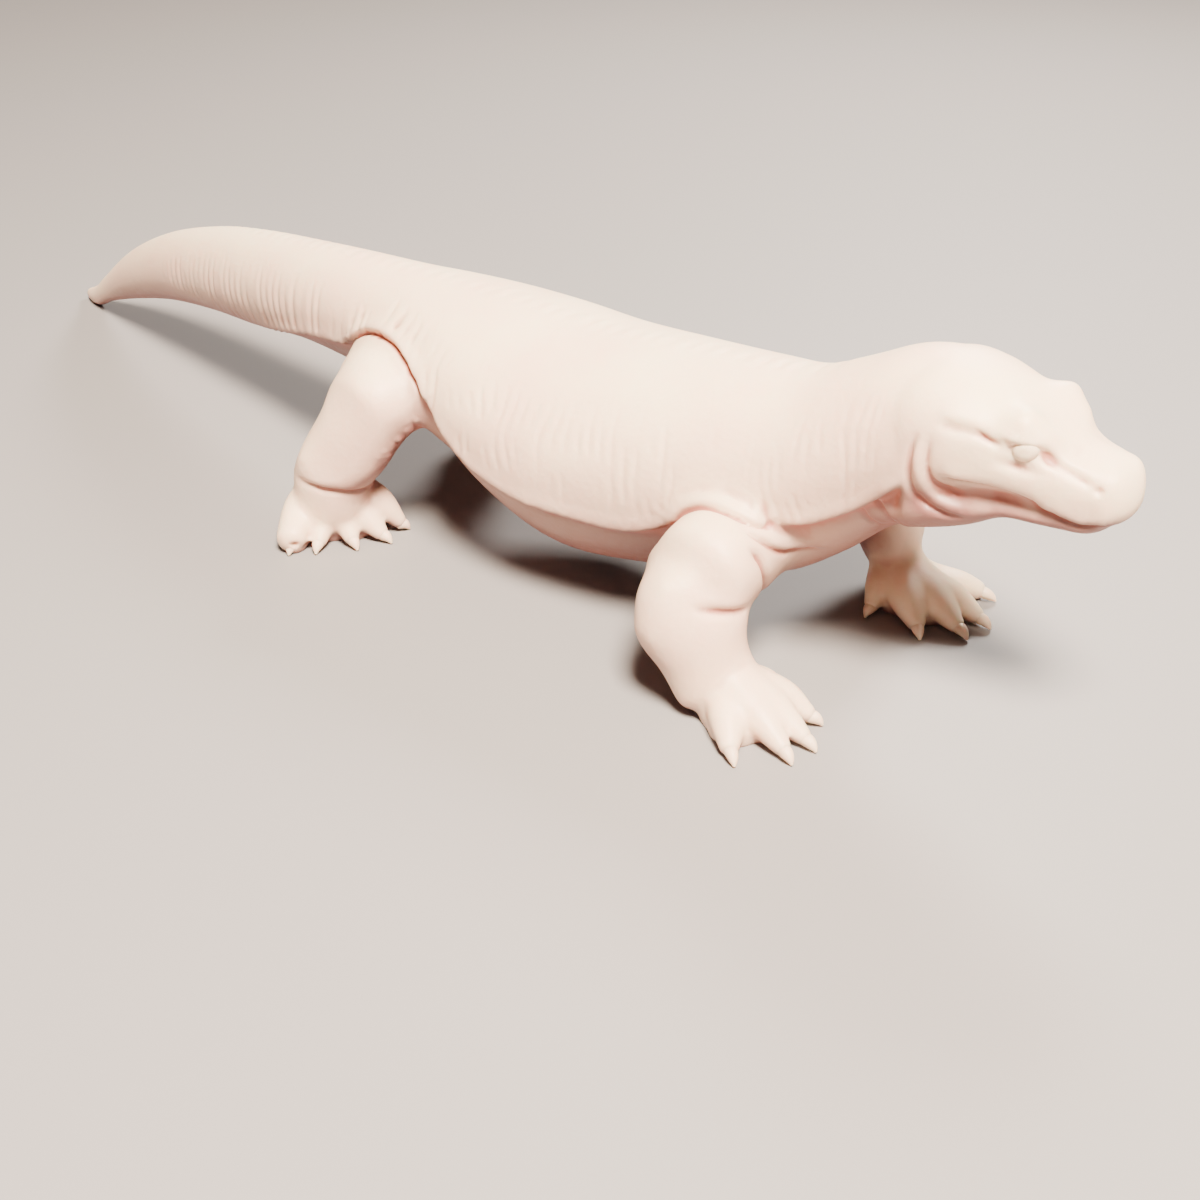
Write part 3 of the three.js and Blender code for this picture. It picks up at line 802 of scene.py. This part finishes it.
def thinned(mesh, most):
    # drops points where the skin is nearly flat
    count = sum(len(polygon.vertices) - 2 for polygon in mesh.polygons)
    dense = newObject("dense", mesh)
    fewer = dense.modifiers.new("fewer", "DECIMATE")
    fewer.ratio = min(1, most / count)
    return applied(dense, "skin")


def markShade(clay, setup):
    # stores how much of an open sky each point sees, from 0 underneath to 1 on a bare top;
    # feet and face get less painted shade, the painted shade patches more; the material paints shade from it
    clay.cast()
    turn = math.pi * (3 - math.sqrt(5))
    rays = []
    for k in range(setup["rays"]):
        height = (k + 0.5) / setup["rays"]
        flat = math.sqrt(1 - height ** 2)
        rays.append(Vector((flat * math.cos(k * turn), flat * math.sin(k * turn), height)))
    facing = np.clip(clay.normals @ np.array(rays).T, 0, None)
    seen = np.zeros(len(clay.points))
    for k, (point, normal) in enumerate(zip(clay.points, clay.normals)):
        start = Vector(point + normal * setup["lift"])
        for ray, part in zip(rays, facing[k]):
            if part > 0.05 and clay.surface.ray_cast(start, ray, setup["reach"])[0] is None:
                seen[k] += part
    seen *= 2 / len(rays)
    x, z, tilt = clay.points[:, 0], clay.points[:, 2], clay.normals[:, 2]
    lit = smoothStep(-0.6, 0, tilt) * (1 - smoothStep(*setup["feet"], z))
    onFace = smoothStep(*setup["face"], x) * smoothStep(*setup["faceUp"], z)
    lit = np.maximum(lit, onFace * smoothStep(-0.8, -0.3, tilt))
    seen += np.maximum(setup["evenLight"] - seen, 0) * lit
    for x, y, z, radius, amount in setup["paintedShadePatches"]:
        gap = np.linalg.norm(clay.points * (1, 0, 1) + np.abs(clay.points) * (0, 1, 0) - (x, y, z), axis=1)
        seen *= 1 - amount * np.exp(-(gap / radius) ** 2)
    for _ in range(setup["rounds"]):
        seen = clay.averaged(seen)
    clay.mesh.attributes.new("sky", "FLOAT", "POINT").data.foreach_set("value", seen)


def markCrevices(clay, setup):
    # stores how far each point lies inside the skin's evened-out shape, in mm, for painted shade in folds
    for name, rounds in setup["crevices"]:
        spots = clay.points.copy()
        for _ in range(rounds):
            spots += 0.7 * (clay.averaged(spots) - spots)
        depth = np.sum((spots - clay.points) * clay.normals, axis=1)
        for _ in range(3):
            depth = clay.averaged(depth)
        depth *= 0.3 + 0.7 * smoothStep(*setup["feet"], clay.points[:, 2])
        clay.mesh.attributes.new(name, "FLOAT", "POINT").data.foreach_set("value", depth)


shadeSetup = {
    "rays": 28, "lift": 0.15, "reach": 60, "rounds": 10,
    # attribute, and how many rounds even out the skin that its depth is measured from
    "crevices": [("crevice", 8), ("hollow", 90)],
    # z over which the feet end, and x and z over which the face begins, to get less painted shade
    "feet": (3, 7), "face": (41, 46), "faceUp": (26.0, 27.5),
    "evenLight": 0.8,
    # patches of painted shade on the throat, under the jaw, round the eye, and at the groin and ankle:
    # x, distance from the mid-plane, z, radius and strength
    "paintedShadePatches": [(45.6, 5.4, 25.6, 1.3, 0.8), (48.4, 4.6, 25.4, 1.3, 0.8), (51.0, 4.0, 25.0, 1.3, 0.75),
               (53.4, 3.4, 24.7, 1.3, 0.7), (55.6, 2.0, 24.4, 1.6, 0.6), (39.6, 6.0, 23.2, 1.6, 0.3),
               (41.9, 6.4, 24.6, 1.6, 0.9), (43.8, 5.8, 23.4, 1.6, 0.9), (45.8, 5.0, 23.2, 1.5, 0.8),
               (46.9, 6.2, 32.4, 0.7, 0.6), (50.2, 5.3, 30.2, 0.9, 0.4), (52.4, 4.5, 31.5, 0.8, 0.5),
               (-17.2, 11.6, 18.6, 1.8, 0.5), (-26.5, 18.8, 7.9, 1.6, 0.2)],
}
skinMesh = thinned(skinMesh, figure["mostTriangles"])
clay = Clay(skinMesh)
markCrevices(clay, shadeSetup)
markShade(clay, shadeSetup)
skinMesh.transform(ontoFrame)
for polygon in skinMesh.polygons:
    polygon.use_smooth = True
skin = newObject("skin", skinMesh)
print("skin:", sum(len(polygon.vertices) - 2 for polygon in skinMesh.polygons), "triangles")


resinSetup = {
    "colour": "#fde3be", "blotch": "#f6d0b2",
    # painted shade: attribute, its values where a tint starts and is full, how much of it, and its colour
    "paintedShadeTints": [
        ("sky", 0.88, 0.45, 0.6, "#cba293"),  # painted shade on the sides
        ("sky", 0.42, 0.15, 0.92, "#84504a"),  # painted shade underneath
        # painted shade in wide hollows, then in narrow creases
        ("hollow", 0.1, 0.5, 0.65, "#a8645c"),
        ("crevice", 0.01, 0.08, 0.85, "#b06c5c"),
    ],
    "blotchSize": 14, "grainSize": 0.9, "pebbleSize": 0.7,  # mm
    "pebbleBump": {"Strength": 0.16, "Distance": 0.00012}, "grainBump": {"Strength": 0.2, "Distance": 0.0002},
    "roughness": (0.42, 0.56), "glow": 0.35, "glowReach": 1.2, "glowSpread": (1.0, 0.5, 0.4),
    "plainSky": 0.68,  # open sky given to the small pieces, which sets their painted shade
}
mixFactor, mixFrom, mixTo, mixColour = 0, 6, 7, 2  # colour sockets of a Mix node


def perMetre(size):
    # texture scale for a pattern of this size in mm on Object coordinates
    return 1 / (size * mm)


def castResin(setup):
    # cast polyester resin, sanded matt: cream, a little see-through so that thin edges look warm;
    # folds, hollows, sides and undersides are darkened and warmed by painted shade
    material = newMaterial("castPolyesterResin")
    tree = material.node_tree
    place = addNode(tree, "ShaderNodeTexCoord")
    blotches = addNode(tree, "ShaderNodeTexNoise", {"Scale": perMetre(setup["blotchSize"]), "Detail": 3.0},
                       {"Vector": (place, "Object")})
    patches = addNode(tree, "ShaderNodeMapRange", {"From Min": 0.35, "From Max": 0.7},
                      {"Value": (blotches, "Fac")})
    last = addNode(tree, "ShaderNodeMix", {"data_type": "RGBA"})
    last.inputs[mixFrom].default_value = fromHex(setup["colour"])
    last.inputs[mixTo].default_value = fromHex(setup["blotch"])
    tree.links.new(patches.outputs["Result"], last.inputs[mixFactor])
    # each tint paints shade onto the colour where its attribute says so
    for name, low, high, most, colour in setup["paintedShadeTints"]:
        depth = addNode(tree, "ShaderNodeAttribute", {"attribute_name": name})
        part = addNode(tree, "ShaderNodeMapRange", {"From Min": low, "From Max": high, "To Max": most},
                       {"Value": (depth, "Fac")})
        tint = addNode(tree, "ShaderNodeMix", {"data_type": "RGBA"})
        tint.inputs[mixTo].default_value = fromHex(colour)
        tree.links.new(last.outputs[mixColour], tint.inputs[mixFrom])
        tree.links.new(part.outputs["Result"], tint.inputs[mixFactor])
        last = tint
    grain = addNode(tree, "ShaderNodeTexNoise", {"Scale": perMetre(setup["grainSize"]), "Detail": 4.0},
                    {"Vector": (place, "Object")})
    least, most = setup["roughness"]
    rough = addNode(tree, "ShaderNodeMapRange", {"To Min": least, "To Max": most}, {"Value": (grain, "Fac")})
    pebbles = addNode(tree, "ShaderNodeTexVoronoi", {"Scale": perMetre(setup["pebbleSize"])},
                      {"Vector": (place, "Object")})
    fine = addNode(tree, "ShaderNodeBump", setup["pebbleBump"], {"Height": (pebbles, "Distance")})
    soft = addNode(tree, "ShaderNodeBump", setup["grainBump"],
                   {"Height": (grain, "Fac"), "Normal": (fine, "Normal")})
    shader = addNode(tree, "ShaderNodeBsdfPrincipled", {
        "Subsurface Weight": setup["glow"],
        "Subsurface Scale": setup["glowReach"] * mm,
        "Subsurface Radius": setup["glowSpread"],
    }, {"Roughness": (rough, "Result"), "Normal": (soft, "Normal")})
    tree.links.new(last.outputs[mixColour], shader.inputs["Base Color"])
    addNode(tree, "ShaderNodeOutputMaterial", links={"Surface": (shader, "BSDF")})
    return material


resin = castResin(resinSetup)


def finishPiece(piece, *nodes):
    for polygon in piece.data.polygons:
        polygon.use_smooth = True
    # pieces without their own open-sky value get a fixed one, and with it a fixed painted shade
    if "sky" not in piece.data.attributes:
        sky = piece.data.attributes.new("sky", "FLOAT", "POINT")
        sky.data.foreach_set("value", np.full(len(piece.data.vertices), resinSetup["plainSky"]))
    piece.data.materials.clear()
    piece.data.materials.append(resin)
    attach(piece, "root")
    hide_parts(*nodes)


finishPiece(skin, *[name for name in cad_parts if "claw" not in name and "eye" not in name])

eyeSetup = {
    "at": (50.3, 4.7, 31.75), "size": (1.25, 0.95, 1.15), "turn": 16, "nod": 12,  # mm and degrees
    "dimple": 0.07, "pupil": 0.3,  # depth and radius of the pupil, in radii of the ball
}


def addEye(name, side, setup):
    bm = bmesh.new()
    x, y, z = setup["at"]
    turned = Matrix.Rotation(math.radians(-side * setup["turn"]), 4, "Z")
    nodded = Matrix.Rotation(math.radians(-setup["nod"]), 4, "Y")
    pose = Matrix.Translation((x, side * y, z)) @ turned @ nodded
    size = Matrix.Diagonal((*setup["size"], 1))
    ball = bmesh.ops.create_uvsphere(bm, u_segments=40, v_segments=24, radius=1)["verts"]
    for vert in ball:  # a shallow dimple marks the pupil
        spread = math.exp(-((vert.co.x ** 2 + vert.co.y ** 2) / setup["pupil"] ** 2))
        vert.co *= 1 - setup["dimple"] * spread * (vert.co.z > 0)
    facing = Matrix.Rotation(math.radians(-side * 90), 4, "X")
    bmesh.ops.transform(bm, matrix=ontoFrame @ pose @ size @ facing, verts=ball)
    mesh = bpy.data.meshes.new(name)
    bm.to_mesh(mesh)
    bm.free()
    return newObject(name, mesh)


def addClaw(name, foot, toe):
    rows, tip = toe
    end, tip = onFoot(foot, *rows[-1][:2]), onFoot(foot, *tip)
    rows = [(*end.lerp(tip, part)[:2], rise, radius, radius) for part, rise, radius in clawShape["rows"]]
    mesh = sweepTube(rows, clawShape, Vector((0, 0, 1)))
    mesh.name = name
    mesh.transform(ontoFrame)
    return newObject(name, mesh)


for word, side in (("right", -1), ("left", 1)):
    finishPiece(addEye("eyeball_" + word, side, eyeSetup), "eye_" + word)
for footName, foot in feet.items():
    for count, toe in enumerate(foot["limb"]["toes"], 1):
        finishPiece(addClaw(f"{footName}_horn_{count}", foot, toe), f"{footName}_claw_{count}")
print("eyes and claws added")
